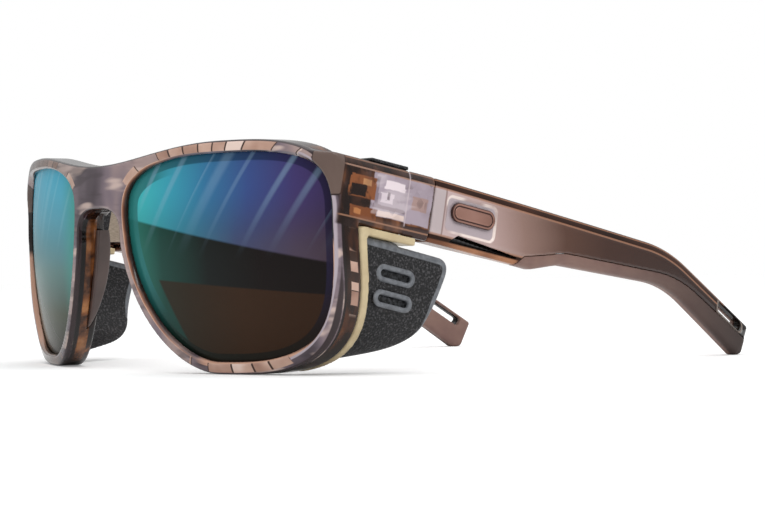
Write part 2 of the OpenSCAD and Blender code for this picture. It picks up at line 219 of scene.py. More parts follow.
class Outline:
    """Signed distance to a closed outline, given in parts, kept as a table and read between."""

    PITCH = 0.12
    MARGIN = 6.0

    def __init__(self, *parts):
        points = np.concatenate(parts)
        self.low = points.min(axis=0) - self.MARGIN
        counts = np.ceil((points.max(axis=0) + self.MARGIN - self.low) / self.PITCH).astype(int)
        u, v = (low + self.PITCH * np.arange(n + 2) for low, n in zip(self.low, counts))
        u, v = u[:, None], v[None, :]
        nearest = np.full((u.shape[0], v.shape[1]), np.inf)
        inside = np.zeros(nearest.shape, bool)
        for a, b in zip(points, np.roll(points, -1, axis=0)):
            du, dv = b - a
            along = ((u - a[0]) * du + (v - a[1]) * dv) / (du * du + dv * dv)
            along = np.clip(along, 0, 1)
            gap = (u - a[0] - along * du) ** 2 + (v - a[1] - along * dv) ** 2
            nearest = np.minimum(nearest, gap)
            if dv:
                spans = (a[1] <= v) != (b[1] <= v)
                inside ^= spans & (u < a[0] + (v - a[1]) * du / dv)
        self.table = np.where(inside, -1, 1) * np.sqrt(nearest)

    def __call__(self, u, v):
        size = np.array(self.table.shape) - 1.001
        fu = (np.asarray(u) - self.low[0]) / self.PITCH
        fv = (np.asarray(v) - self.low[1]) / self.PITCH
        cu, cv = np.clip(fu, 0, size[0]), np.clip(fv, 0, size[1])
        beyond = self.PITCH * np.hypot(fu - cu, fv - cv)
        iu, iv = cu.astype(int), cv.astype(int)
        du, dv = cu - iu, cv - iv
        t = self.table
        low = t[iu, iv] * (1 - dv) + t[iu, iv + 1] * dv
        high = t[iu + 1, iv] * (1 - dv) + t[iu + 1, iv + 1] * dv
        return low * (1 - du) + high * du + beyond


def join(a, b, r=0.0):
    """Union of two fields with a fillet of about radius r."""
    if r == 0:
        return np.minimum(a, b)
    return np.minimum(a, b) - np.maximum(r - np.abs(a - b), 0) ** 2 / (4 * r)


def meet(a, b, r=0.0):
    """What two fields share, with its edge rounded to about radius r."""
    return -join(-a, -b, r)


def cut(a, b, r=0.0):
    """Field a without field b."""
    return meet(a, -b, r)


def ball(p, centre, radius):
    x, y, z = (c - o for c, o in zip(p, centre))
    return np.sqrt(x * x + y * y + z * z) - radius


def block(p, low, high, r=0.0):
    """A box in two or three dimensions with its edges rounded to radius r."""
    beyond = [np.maximum(lo - c, c - hi) + r for c, lo, hi in zip(p, low, high)]
    outside = np.sqrt(sum(np.maximum(b, 0) ** 2 for b in beyond))
    deepest = beyond[0]
    for b in beyond[1:]:
        deepest = np.maximum(deepest, b)
    return outside + np.minimum(deepest, 0) - r


def stadium(u, w, length, r):
    """A slot outline along u with round ends, its middle at zero."""
    return np.hypot(np.maximum(np.abs(u) - (length / 2 - r), 0), w) - r


def turned(u, w, angle):
    """Coordinates in a frame that slopes down by angle: back along the slope, and up from it."""
    c, s = math.cos(angle), math.sin(angle)
    return u * c - w * s, u * s + w * c


def on_slope(p):
    x, y, z = p
    u, w = turned(y - hinge_y, z - hinge_z, slope)
    return x, u, w


def smooth_step(value, start, end):
    """0 before start, 1 past end, and a smooth rise between; end may lie below start."""
    t = np.clip((value - start) / (end - start), 0, 1)
    return t * t * (3 - 2 * t)


# ---- meshes ----


def read_samples(values, at):
    """Values of a sampled field between its samples, at positions given in samples."""
    whole = np.clip(np.floor(at).astype(int), 0, np.array(values.shape) - 2)
    part = at - whole
    total = np.zeros(len(at))
    for corner in np.ndindex(2, 2, 2):
        weight = np.prod(np.where(corner, part, 1 - part), axis=1)
        total += weight * values[tuple((whole + corner).T)]
    return total


def edge_crossings(values, axis):
    """Where sampled values cross zero along an axis, and the four cells round each crossing."""
    near, far = [slice(None)] * 3, [slice(None)] * 3
    near[axis], far[axis] = slice(None, -1), slice(1, None)
    a, b = values[tuple(near)], values[tuple(far)]
    at = np.argwhere((a < 0) != (b < 0))
    a, b = a[tuple(at.T)], b[tuple(at.T)]
    crossing = at.astype(float)
    crossing[:, axis] += a / (a - b)
    around = []
    for step_p, step_q in ((0, 0), (-1, 0), (-1, -1), (0, -1)):
        cell = at.copy()
        cell[:, (axis + 1) % 3] += step_p
        cell[:, (axis + 2) % 3] += step_q
        around.append(np.ravel_multi_index(cell.T, values.shape))
    around = np.stack(around, axis=1)
    return crossing, np.where((a < 0)[:, None], around, around[:, ::-1])


def surface_net(field, low, high, step=STEP):
    """Closed quad mesh of the surface where field is zero: its vertices, quads and normals."""
    axes = [np.arange(a - 2 * step, b + 2.5 * step, step) for a, b in zip(low, high)]
    grid = np.meshgrid(*axes, indexing="ij", sparse=True)
    shape = tuple(len(a) for a in axes)
    values = np.ascontiguousarray(np.broadcast_to(field(grid), shape), np.float32)
    crossings = zip(*(edge_crossings(values, axis) for axis in range(3)))
    points, cells = (np.concatenate(parts) for parts in crossings)
    _, quads = np.unique(cells, return_inverse=True)
    quads = quads.reshape(cells.shape)
    shares = np.bincount(quads.ravel())
    corners = np.repeat(points, 4, axis=0)
    at = np.stack([np.bincount(quads.ravel(), corners[:, k]) / shares for k in range(3)], axis=1)
    halves = np.eye(3) / 2
    slopes = [read_samples(values, at + h) - read_samples(values, at - h) for h in halves]
    normals = np.stack(slopes, axis=1)
    steep = np.linalg.norm(normals, axis=1, keepdims=True) + 1e-6
    at -= np.clip(read_samples(values, at)[:, None] / steep, -0.5, 0.5) * normals / steep
    return np.array([a[0] for a in axes]) + at * step, quads, normals / steep


def put_in_scene(name, data):
    """A new object that shows a mesh, a light or a camera."""
    made = bpy.data.objects.new(name, data)
    bpy.context.scene.collection.objects.link(made)
    return made


def make_piece(name, mesh, material, body, nodes, layers=None, side=1):
    """A piece from (vertices, faces, normals), mirrored for side -1, that stands for CAD nodes.

    layers gives a value per vertex for each name, for the material to read.
    """
    verts, faces, normals = mesh
    flip = np.array([side, 1, 1])
    faces = [list(f)[::side] for f in (faces.tolist() if hasattr(faces, "tolist") else faces)]
    data = bpy.data.meshes.new(name)
    data.from_pydata(((verts - face_shift) * flip * MM).tolist(), [], faces)
    for layer, values in (layers or {}).items():
        made = data.attributes.new(layer, "FLOAT", "POINT")
        made.data.foreach_set("value", np.asarray(values, np.float32))
    data.shade_smooth()
    if normals is not None:
        data.normals_split_custom_set_from_vertices((normals * flip).tolist())
    data.materials.append(material)
    piece = put_in_scene(name, data)
    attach(piece, body)
    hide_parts(*nodes)


# ---- front ----

front_shape = Outline(front_outline())
lens_shape = Outline(lens_ring(0))

LEAF_EDGE = 2.05  # radius of the hinge barrel
LEAF_L = 8.0
LEAF_SINK = 0.4
BARREL_H = 9.0
HEAD_ROOM = 0.9  # above the barrel, for the head of the screw
SEAM_U = -7.0  # a fine groove across the end piece
CORNER_U = -25.0  # the end piece's front face turns into its side here


def from_face(p):
    """Distance in front of the sphere that the front's face lies on."""
    return ball(p, face_centre, FACE_R)


def from_back(p):
    """Distance outside the sphere that the back of the front lies on."""
    return ball(p, back_centre, BACK_R)


def hinge_room(p, way):
    """Room for one half of the hinge: way is -1 in the end piece and 1 in the temple."""
    x, y, z = (c - o for c, o in zip(p, pin))
    half = BARREL_H / 2 + GAP
    barrel = meet(np.hypot(x, y) - LEAF_EDGE, np.maximum(-half - z, z - half - HEAD_ROOM))
    ends = sorted([0, way * (LEAF_EDGE + LEAF_L + GAP)])
    inner = inner_face + LEAF_SINK + GAP - pin[0]
    plate = block((x, y, z), (-LEAF_EDGE, ends[0], -half), (inner, ends[1], half))
    return join(barrel, plate)


def nasal_strip(p, near, far, side):
    """Strip beside the nose, near to far outside the lens outline, flared to the back."""
    x, y, z = p
    u, _ = turned(x - nasal_x, y - FRONT_DEPTH, NASAL_FLARE)
    sheet = np.abs(lens_shape(u + nasal_x, z) - (near + far) / 2) - (far - near) / 2
    oval = np.hypot((y - FRONT_DEPTH + 1) / side[1], (z - nasal_z + NASAL_DROP) / side[0]) - 1
    return meet(meet(sheet, oval * side[1], 0.6), u - lens_w / 4, 0.5)


def pad_shape(p, grow=0.0):
    """A nose pad made larger all round by grow."""
    strip = nasal_strip(p, FLANGE_OUT + GAP, FLANGE_OUT + PAD_T, PAD_SIDE)
    return meet(strip, from_face(p) + PAD_FRONT + GAP, 0.5) - grow


def bevel(outward, edge, tall):
    """Plane that bevels an outer edge: edge is negative inside it, tall is the bevel's height."""
    return (outward + 0.5 * (edge + tall)) / math.hypot(1, 0.5)


def end_piece(p):
    """The block that carries the hinge, with bevelled edges and a fine seam across its side."""
    x, u, w = on_slope(p)
    sides = block((x, w), (inner_face, -temple_h), (outer_face, 0), 0.5)
    sides = meet(sides, bevel(x - outer_face, w, TOP_BEVEL), 0.4)
    sides = meet(sides, bevel(x - outer_face, -temple_h - w, LOW_BEVEL), 0.4)
    seam = 0.25 * smooth_step(np.abs(u - SEAM_U), 0.4, 0.1) * smooth_step(x, inner_face, outer_face)
    return meet(sides + seam, np.maximum(u + GAP, -END_L - u), 0.4)


def lens_opening(p, face):
    """Hole for a lens: its chamfer, wider on the outer side, and the groove that holds it."""
    x, _, z = p
    opening = lens_shape(x, z)
    width = 0.45 + 0.75 * smooth_step(x, outer_x - 16, outer_x - 5)
    chamfer = width * np.clip(1 + face / (width + 0.4), 0, 1)
    in_groove = np.abs(face + LIP + LENS_T / 2) - LENS_T / 2 - GAP
    return opening - chamfer, np.maximum(opening - GROOVE - GAP, in_groove)


def front_field(p):
    x, y, z = p
    x = np.abs(x)
    p = (x, y, z)
    face = from_face(p)
    slab = meet(front_shape(x, z), face, 0.9)
    slab = cut(slab, from_back(p), 0.8)
    body = join(slab, meet(end_piece(p), face, 1.0), 0.6)
    body = meet(body, meet(x - outer_face, face, 2.7), 0.3)
    opening, groove = lens_opening(p, face)
    body = cut(cut(body, opening, 0.3), groove)
    body = cut(body, hinge_room(p, -1), 0.2)
    body = cut(body, pad_shape(p, GAP))
    flange = nasal_strip(p, 0.3, FLANGE_OUT, FLANGE_SIDE)
    body = join(body, meet(flange, face + LIP + LENS_T + 1, 0.5), 0.5)
    return meet(body, -z, 0.3)


def front_layers(verts):
    """What the frame plastic is told about each vertex."""
    x, y, z = np.abs(verts[:, 0]), verts[:, 1], verts[:, 2]
    face = from_face((x, y, z))
    middle = (nasal_x + outer_x) / 2
    turn = np.degrees(np.arctan2(z - outer_z + 4, x - middle))
    blocks = ((turn > -112) & (turn < -55)) | ((turn > 42) & (turn < 152))
    _, u, w = on_slope((x, y, z))
    on_end = x > inner_face - 0.5
    corner = smooth_step(x, outer_x - 3.4, outer_x - 3) * smooth_step(u, CORNER_U + 0.7, CORNER_U)
    return {
        "turn": turn,
        "blocks": blocks * smooth_step(face, -3.4, -2.8),
        "inside": -front_shape(x, z),
        "from_lens": lens_shape(x, z),
        "nasal": smooth_step(x, middle, nasal_x + 4),
        "depth": -face,
        "corner": corner * smooth_step(z, hinge_z - 4.0, hinge_z - 3.4),
        "slope_u": np.where(on_end, u, -60),
        "slope_w": w,
    }


# ---- lenses ----


def sphere_y(x, z, inset):
    """How far behind the front face the face sphere, shrunk by inset, lies at x and z."""
    return FACE_R - np.sqrt((FACE_R - inset) ** 2 - x**2 - (z - eye_z) ** 2)


def lens_mesh():
    """A lens: rings of points shrinking from its edge to its middle, on the front and the back."""
    count, rings = (288), 30
    angles = np.arange(count) * 360 / count
    edge = lens_ring(GROOVE, angles)
    middle = np.array([(nasal_x + outer_x) / 2, (bottom_z + top_z) / 2])
    shares = 1 - (np.arange(rings) / rings) ** 1.5
    layers = []
    for inset, order in ((LIP, shares[::-1]), (LIP + LENS_T, shares)):
        for share in order:
            ring_points = middle + (edge - middle) * share
            layers.append(np.insert(ring_points, 1, sphere_y(*ring_points.T, inset), axis=1))
    verts = np.concatenate(layers)
    ends = [[middle[0], sphere_y(*middle, inset), middle[1]] for inset in (LIP, LIP + LENS_T)]
    verts = np.concatenate([verts, ends])
    here, there = np.arange(count), (np.arange(count) + 1) % count
    faces = []
    for start in range(0, (len(layers) - 1) * count, count):
        end = start + count
        faces += np.stack([start + here, start + there, end + there, end + here], 1).tolist()
    front, back = np.full(count, len(verts) - 2), np.full(count, len(verts) - 1)
    faces += np.stack([front, there, here], 1).tolist()
    faces += np.stack([back, end + here, end + there], 1).tolist()
    return verts, faces, None


def lens_layers(verts):
    """Place on the lens opening, from nose to side and from bottom to top, and edge distance."""
    x, z = verts[:, 0], verts[:, 2]
    return {
        "across": (x - nasal_x) / lens_w,
        "up": (z - bottom_z) / lens_h,
        "edge": -lens_shape(x, z),
        "behind": smooth_step(from_face(verts.T), -LIP - 0.5, -LIP - 1.5),
    }


# ---- temples ----


def temple_outer(y):
    """Place of a temple's outer side, which comes in towards its tip."""
    return outer_face - temple_inset * (np.maximum(0, y - hinge_y) / (depth - hinge_y)) ** 1.3


def temple_thick(y):
    t = np.clip((y - hinge_y) / THIN_OVER, 0, 1)
    return TIP_T + (TEMPLE_T - TIP_T) * (1 + np.cos(np.pi * t)) / 2


THIN_OVER = 24  # a temple thins over this length behind the hinge
PARTING = 0.03  # half of the fine line between a temple and its grip
ear_y = hinge_y + 0.712 * (depth - hinge_y)
ear_top = (ear_y, hinge_z - math.tan(slope) * (ear_y - hinge_y) - 0.9)
ear_low = (ear_y - 0.4, ear_top[1] - 8.9)
ear_part = (ear_y + 2.8, ear_top[1] - 6.8)
EAR_REACH = 8
tip_back = (depth, ear_top[1] - math.tan(TIP_SLOPE) * (depth - ear_y))
down_slope = np.array([math.cos(slope), -math.sin(slope)])
hinge_top = np.array([hinge_y, hinge_z])
split_foot = hinge_top - temple_h * np.array([math.sin(slope), math.cos(slope)])
grip_front = split_foot + 26.7 * down_slope
grip_step = np.array([hinge_y + 37.4, 25.8])
knee = np.array([hinge_y + 28.5, 22])
part_end = (depth - 1.5, 3.4)
foot_front, foot_back = (depth - 5.8, 0), (depth - 3.3, 0)

# Side view of a whole temple, run on in front of the split, and what of it is grip
temple_shape = Outline(
    [hinge_top - 4 * down_slope],
    bend(hinge_top, ear_top, tip_back, EAR_REACH),
    curve((depth - 0.8, tip_back[1] + 0.5), tip_back, (depth - 0.3, tip_back[1] - 0.6), 6),
    curve((foot_back[0] + 0.4, 0.7), foot_back, (foot_back[0] - 0.7, 0), 6),
    curve((foot_front[0] + 0.5, 0), foot_front, (foot_front[0] - 0.5, 0.5), 6),
    bend(foot_front, ear_low, knee + [8.3, 0.8], EAR_REACH),
    curve(knee + [9.5, 0.9], knee + [8.3, 0.8], knee + [6.8, 0.7], 6),
    curve(knee + [1, 0.1], knee, knee + [-1, 0.3], 6),
    [split_foot - 4 * down_slope],
)
grip_shape = Outline(
    [grip_front - [0.5, 20], grip_front, grip_front + [2.4, 1.6]],
    curve(grip_step - [3, 0.5], grip_step, grip_step + [3, -0.4], 6),
    bend(grip_step, ear_part, part_end, EAR_REACH),
    [part_end, (depth + 5, 1.5), (depth + 5, -20)],
)
slot_y, slot_z = depth - 8.1, tip_back[1] + 2.85
SLOT_L, SLOT_R, SLOT_CORNER = 10, 1.2, 0.7
TIP_LAYER_T = 1.6  # the grip's layer on the inner side of the tip
tip_layer_y = hinge_y + 74
BADGE_L, BADGE_H, BADGE_T = 13, 4.4, 0.8
BADGE_U, BADGE_W = 11.7, -6.4  # its middle, back along the slope from the hinge and up
BADGE_LINE = 0.75  # the engraved line lies this far inside its edge
PANEL_LOW, PANEL_HIGH = (3.9, BADGE_W - 4.6), (18.6, BADGE_W + 3.2)
WEDGE_D = 3.2
wedge_low = 1.1 - temple_h
wedge_shape = Outline(
    [(6, wedge_low), (8.2, wedge_low + 1.7), (26.5, wedge_low + 0.35), (26.5, wedge_low)]
)


def badge_place(p):
    """Coordinates round the badge: out from the temple's side, back along it, and up."""
    x, u, w = on_slope(p)
    near, far = (temple_outer(hinge_y + BADGE_U + s * BADGE_H) for s in (-1, 1))
    turn = math.atan((near - far) / (2 * BADGE_H))
    out, back = x - temple_outer(hinge_y + BADGE_U), u - BADGE_U
    c, s = math.cos(turn), math.sin(turn)
    return out * c + back * s, back * c - out * s, w - BADGE_W


def cord_slot(p):
    """Distance from the cord slot's outline, seen from the side."""
    u, w = turned(p[1] - slot_y, p[2] - slot_z, TIP_SLOPE)
    return block((u, w), (-SLOT_L / 2, -SLOT_R), (SLOT_L / 2, SLOT_R), SLOT_CORNER)


def badge_panel(p):
    """Distance from the outline of the shallow panel behind the badge."""
    _, u, w = on_slope(p)
    return block((u, w), PANEL_LOW, PANEL_HIGH, 1.4)


def temple_bar(p):
    """Temple and grip together, with their cord slot."""
    x, y, z = p
    out = x - temple_outer(y)
    panel = 0.45 * smooth_step(badge_panel(p), 0.45, -0.45)
    lip = 0.25 * smooth_step(np.abs(cord_slot(p) - 0.6), 0.45, 0.25)
    side, outer = temple_shape(y, z), out + panel - lip
    soft = smooth_step(grip_shape(y, z), 1.2, -0.4)
    hard_edge = meet(meet(side, outer, 0.3), bevel(out, side, TOP_BEVEL), 0.5)
    body = hard_edge * (1 - soft) + meet(side, outer, 1.8) * soft
    body = meet(body, -out - temple_thick(y), 1.4)
    return cut(body, cord_slot(p), 0.3)


def soft_side(p):
    """Where the bar is grip: under the parting line, and inside at the tip."""
    x, y, z = p
    inner = np.maximum(x - temple_outer(y) + TIP_T - TIP_LAYER_T, tip_layer_y - y)
    return join(grip_shape(y, z), inner)


def temple_field(p):
    """The hard part of a temple, with seats for its hinge leaf and badge, and a wedge hollow."""
    x, u, w = on_slope(p)
    body = meet(temple_bar(p), -u, 0.4)
    body = cut(body, soft_side(p) - PARTING, 0.12)
    body = cut(body, hinge_room(p, 1), 0.2)
    out, back, up = badge_place(p)
    seat = stadium(back, up, BADGE_L + 2 * GAP, BADGE_H / 2 + GAP)
    body = cut(body, np.maximum(seat, -out - 0.5), 0.3)
    return cut(body, np.maximum(wedge_shape(u, w), outer_face - WEDGE_D - x), 0.3)


def grip_field(p):
    return meet(temple_bar(p), soft_side(p) + PARTING, 0.12)


def badge_field(p):
    """A plain lozenge with a line engraved inside its edge."""
    out, back, up = badge_place(p)
    edge = stadium(back, up, BADGE_L, BADGE_H / 2)
    top = BADGE_T / 2 - 0.22 * smooth_step(np.abs(edge + BADGE_LINE), 0.3, 0.12)
    return meet(edge, np.maximum(out - top, -out - BADGE_T / 2), 0.3)


def badge_layers(verts):
    _, back, up = badge_place(verts.T)
    return {"edge": -stadium(back, up, BADGE_L, BADGE_H / 2)}


def grip_layers(verts):
    """0 at the hinge to 1 at the tip, and millimetres outward from the temple's outer side."""
    return {
        "along": (verts[:, 1] - hinge_y) / (depth - hinge_y),
        "outward": verts[:, 0] - temple_outer(verts[:, 1]),
    }


def temple_layers(verts):
    p = verts.T
    _, u, w = on_slope(p)
    return {
        **grip_layers(verts),
        "below_top": -temple_shape(verts[:, 1], verts[:, 2]),
        "slope_u": u,
        "slope_w": w,
        "panel": badge_panel(p),
        "slot": cord_slot(p),
        "wedge": wedge_shape(u, w),
    }


# ---- side shields ----


def rim_band(near, far):
    """Outline of the band that lies near to far inside the rim's outer edge."""
    angles = np.arange(20, -77, -1)
    outer = ring(angles, RIM_GROW - near, RIM_BEND)
    return Outline(outer, ring(angles[::-1], RIM_GROW - far, RIM_BEND))


flap_back = hinge_y + 4
flap_shape = Outline(
    [(0, 0.8)],
    curve((hinge_y - 26, 2.3), (hinge_y - 19, 2.9), (hinge_y - 11.5, 4.2)),
    curve((hinge_y - 10, 4.5), (hinge_y - 3, 6), (hinge_y - 1.2, 9.8)),
    curve((flap_back - 0.9, 21), (flap_back, 24.2), (flap_back - 3, 25)),
    [(0, 36)],
)
shield_band = rim_band(SHIELD_IN, SHIELD_IN + SHIELD_T)
clip_band = rim_band(0, CLIP_W)


def vent(p, place):
    """Distance from a vent slot, seen from the side."""
    u, w = turned(p[1] - place[0], p[2] - place[1], VENT_TILT)
    return stadium(u, w, VENT_L, VENT_R)


def shield_top(p):
    """Distance above the shelf that the shield ends at."""
    return on_slope(p)[2] - shelf_w


def shield_hook(p):
    """Shelf under the clip tab, web inboard of the end piece, and lip over its top edge."""
    web_x = inner_face - TAB_IN - GAP
    inner, shield_x = web_x - WEB_T, outer_face - SHIELD_IN
    front, rear = HOOK_U[0] + 1, HOOK_U[1]
    low, high = shelf_w - WEB_T, GAP + HOOK_T
    place = on_slope(p)
    shelf = block(place, (inner, front, low), (shield_x, rear, shelf_w), 0.5)
    shelf = meet(shelf, from_back(p) + CLIP_T + 2 * GAP, 0.3)
    web = block(place, (inner, front, low), (web_x, rear, high), 0.6)
    lip = block(place, (inner, front, GAP), (shield_x, rear, high), 0.3)
    return join(shelf, join(web, lip, 0.3), 0.3)


def flap_field(p):
    x, y, z = p
    flap = meet(flap_shape(y, z), shield_top(p), 0.8)
    body = meet(shield_band(x, z), from_back(p) + CLIP_T + 2 * GAP, 0.5)
    body = meet(body, flap, 0.9)
    shield_x = outer_face - SHIELD_IN
    for place in vents:
        edge = vent(p, place)
        raised = np.maximum(shield_x - SHIELD_T - x, x - shield_x - RING_H)
        body = join(body, meet(edge - RING_W, raised, 0.6), 0.2)
        body = cut(body, np.maximum(edge, shield_x - SHIELD_T + VENT_WEB - x), 0.3)
    return join(body, shield_hook(p), 0.3)


def flap_layers(verts):
    """Distances from the vents' rings, from their slots and in from the flap's edge."""
    p = verts.T
    edge = np.minimum(*(vent(p, place) for place in vents))
    in_slot = verts[:, 0] < outer_face - SHIELD_IN - 0.3
    rim = -np.maximum(flap_shape(p[1], p[2]), shield_top(p))
    rim = rim * (1 + 2 * smooth_step(verts[:, 2], 16, 4))
    hook = (verts[:, 0] < outer_face - 6) | (shield_top(p) > 0.2)
    return {
        "rings": np.where(in_slot, 1, edge - RING_W),
        "slots": np.where(in_slot, edge, 1),
        "rim": np.where(hook, 10, rim),
    }


def clip_field(p):
    """An L: a strip behind the rim and a tab under the end piece."""
    x, y, z = p
    place = on_slope(p)
    from_rim = from_back(p) + GAP
    strip = meet(clip_band(x, z), -from_rim - CLIP_T, 0.25)
    low = (inner_face - TAB_IN, HOOK_U[0] - 1, hook_w - TAB_T)
    high = (outer_face + 0.15, HOOK_U[1] + TAB_PAST, hook_w + 1)
    tab = block(place, low, high, 0.3)
    return meet(join(strip, tab, 0.8), meet(from_rim, place[2] - hook_w, 1.3), 0.25)


# ---- materials ----


def colour(text):
    """Linear colour for a screen colour written as six hexadecimal digits."""
    parts = [int(text[i : i + 2], 16) / 255 for i in (0, 2, 4)]
    return [c / 12.92 if c <= 0.04045 else ((c + 0.055) / 1.055) ** 2.4 for c in parts] + [1]


class Value:
    """An output in a material's node tree; sums and methods add nodes and give new outputs."""

    def __init__(self, paint, socket):
        self.paint = paint
        self.socket = socket

    def math(self, operation, *others):
        return self.paint.add("Math", dict(enumerate((self, *others))), operation=operation)

    __add__ = partialmethod(math, "ADD")
    __sub__ = partialmethod(math, "SUBTRACT")
    __mul__ = partialmethod(math, "MULTIPLY")
    __truediv__ = partialmethod(math, "DIVIDE")
    max = partialmethod(math, "MAXIMUM")

    def wobble(self, amount):
        """Noise as a shift of at most amount / 2 either way."""
        return (self - 0.5) * amount

    def between(self, low, high):
        """low where this is 0, high where it is 1."""
        return self * (high - low) + low

    def rise(self, start, end):
        """0 before start and 1 past end, with a smooth rise between; end may lie below start."""
        inputs = {"Value": self, "From Min": start, "From Max": end}
        return self.paint.add("MapRange", inputs, interpolation_type="SMOOTHSTEP")

    def near(self, middle, half, soft):
        """1 within half of middle, fading to 0 over soft."""
        return (self - middle).math("ABSOLUTE").rise(half + soft, half)

    def mix(self, mask, tone, strength=1.0):
        """This colour, turned to tone where the mask is 1, as far as strength goes."""
        return self.paint.blend(mask * strength if strength < 1 else mask, self, tone)

    def ramp(self, stops):
        """Blends between colours; stops gives the colour at each of some values."""
        ramp = self.paint.add("ValToRGB", {"Fac": self}, "Color")
        band = ramp.socket.node.color_ramp
        while len(band.elements) < len(stops):
            band.elements.new(1)
        for element, (place, text) in zip(band.elements, stops.items()):
            element.position = place
            element.color = colour(text)
        return ramp


class Paint:
    """The nodes of a material, or of a world, in the making."""

    def __init__(self, owner):
        owner.use_nodes = True
        self.owner = owner
        self.tree = owner.node_tree

    def feed(self, socket, value):
        """Gives a socket an output to follow, a colour written as text, or a plain value."""
        if isinstance(value, Value):
            self.tree.links.new(value.socket, socket)
        else:
            socket.default_value = colour(value) if isinstance(value, str) else value

    def add(self, kind, inputs, output=0, **settings):
        node = self.tree.nodes.new("ShaderNode" + kind)
        for name, value in settings.items():
            setattr(node, name, value)
        for key, value in inputs.items():
            self.feed(node.inputs[key], value)
        return Value(self, node.outputs[output])

    def layers(self, *names):
        """Values that the mesh carries for each vertex, by name."""
        return [self.add("Attribute", {}, "Fac", attribute_name=name) for name in names]

    def place(self):
        return self.add("TexCoord", {}, "Object")

    def place_mm(self, axis):
        """Millimetres along an axis of the row frame."""
        return self.add("SeparateXYZ", {0: self.place()}, axis) / MM

    def grazing(self):
        """0 where the surface faces the viewer, 1 where it is seen edge on."""
        return self.add("LayerWeight", {"Blend": 0.5}, "Facing")

    def noise(self, scale, detail=2.0, stretch=None):
        """Soft noise round 0.5; stretch holds a further scale for each axis."""
        place = self.place()
        if stretch:
            place = self.add("Mapping", {"Vector": place, "Scale": stretch})
        return self.add("TexNoise", {"Scale": scale, "Detail": detail, "Vector": place})

    def cells(self, output, inputs, **settings):
        """An output of a pattern of cells; of a cell's random colour it gives the red part."""
        value = self.add("TexVoronoi", inputs, output, **settings)
        return self.add("SeparateColor", {0: value}, "Red") if output == "Color" else value

    def blend(self, mask, a, b):
        """Colour a, turned to b where the mask is 1."""
        return self.add("Mix", {0: mask, 6: a, 7: b}, 2, data_type="RGBA")

    def bump(self, height, distance, strength):
        inputs = {"Height": height, "Distance": distance * MM, "Strength": strength}
        return self.add("Bump", inputs, "Normal")

    def finish(self, shader="Principled BSDF", **inputs):
        for name, value in inputs.items():
            self.feed(self.tree.nodes[shader].inputs[name.replace("_", " ")], value)
        return self.owner


def paint_for(name):
    return Paint(bpy.data.materials.new(name))


def patch(across, up, low, high, soft):
    """1 inside the rectangle between two corners, with soft edges."""
    sides = []
    for value, start, end in zip((across, up), low, high):
        sides.append(value.near((start + end) / 2, (end - start) / 2 - soft, 2 * soft))
    return sides[0] * sides[1]


# What shows through the clear end piece: corners as (back along its slope, up), and colour
END_SHAPES = [
    ((-16.8, -11.5), (-0.5, -2.1), "a99ba6"),  # clear window
    ((-22.6, -8.4), (-15.8, -3.6), "87502f"),  # lit inner walls in front of it
    ((-22.0, -12.8), (-14.8, -10.2), "7a4628"),
    ((-19.4, -5.6), (-17.2, -4.2), "c08a5c"),
    ((-22.1, -8.2), (-18.4, -5.6), "1d0f0b"),
    ((-20.9, -11.9), (-18.6, -10.8), "b27648"),
    ((-16.2, -9.8), (-7.4, -8.9), "7d6c75"),  # far edge of the hinge leaf
    ((-13.4, -5.2), (-8.0, -3.4), "e9dbe0"),  # glints on the hinge leaf
    ((-14.2, -8.2), (-10.6, -6.1), "d6c8d0"),
    ((-12.6, -7.6), (-11.9, -5.9), "6f6069"),
    ((-15.9, -9.6), (-14.9, -3.0), "857781"),
    ((-5.9, -8.4), (-1.6, -5.4), "a98d88"),
    ((-14.6, -11.4), (-7.5, -10.2), "e3cdc5"),
    ((-7.0, -14.3), (1.0, -11.9), "38231f"),  # shaded lower edge
]
END_LINES = [(-0.4, "8d6a58"), (-2.0, "b18b78"), (-12.9, "a67a60")]  # lit edges along it


def end_piece_glass(paint, base, slope_u, slope_w, on_side):
    """Inner walls and hinge as uneven shapes, with streaks of light over the window."""
    facets = paint.cells("Color", {"Scale": 620, "Vector": paint.place()})
    wander = facets.wobble(0.5) + paint.noise(160).wobble(1.2)
    u = slope_u + wander
    w = slope_w + wander * 0.4
    browns = {0.36: "1a0f0b", 0.5: "3a2218", 0.6: "6b432c", 0.7: "a5693f"}
    base = base.mix(on_side, paint.noise(210, 2, (1, 1, 0.4)).ramp(browns))
    for low, high, tone in END_SHAPES:
        base = base.mix(patch(u, w, low, high, 0.15), tone)
    shade = paint.noise(140).rise(0.45, 0.7) * facets * 0.7 * on_side
    base = base.mix(shade, "54423f")
    streaks = paint.noise(330, 2, (1, 0.25, 1)).rise(0.5, 0.62)
    in_window = patch(u, w, (-16.0, -11.0), (0, -2.5), 0.25)
    return base.mix(streaks * in_window, "efe3e6", 0.28)


def end_piece_colours(paint, base):
    """The clear end piece, with the hinge and the inner walls showing through it."""
    slope_u, slope_w = paint.layers("slope_u", "slope_w")
    above_foot = slope_w.rise(-temple_h - 1, -temple_h - 0.4)
    on_side = slope_u.rise(CORNER_U, CORNER_U + 1.2) * above_foot
    base = end_piece_glass(paint, base, slope_u, slope_w, on_side)
    in_front = slope_u.rise(-14.5, -16.5) * on_side
    dark = paint.noise(260, 3).rise(0.47, 0.6)
    base = base.mix(dark * in_front, "1d100c", 0.75)
    for line, tone in END_LINES:
        base = base.mix(slope_w.near(line, 0.1, 0.15) * on_side, tone, 0.7)
    seam = slope_u.near(SEAM_U, 0.08, 0.15) * slope_w.rise(-12.5, -12)
    return base.mix(seam * on_side, "cdbcc2", 0.6)


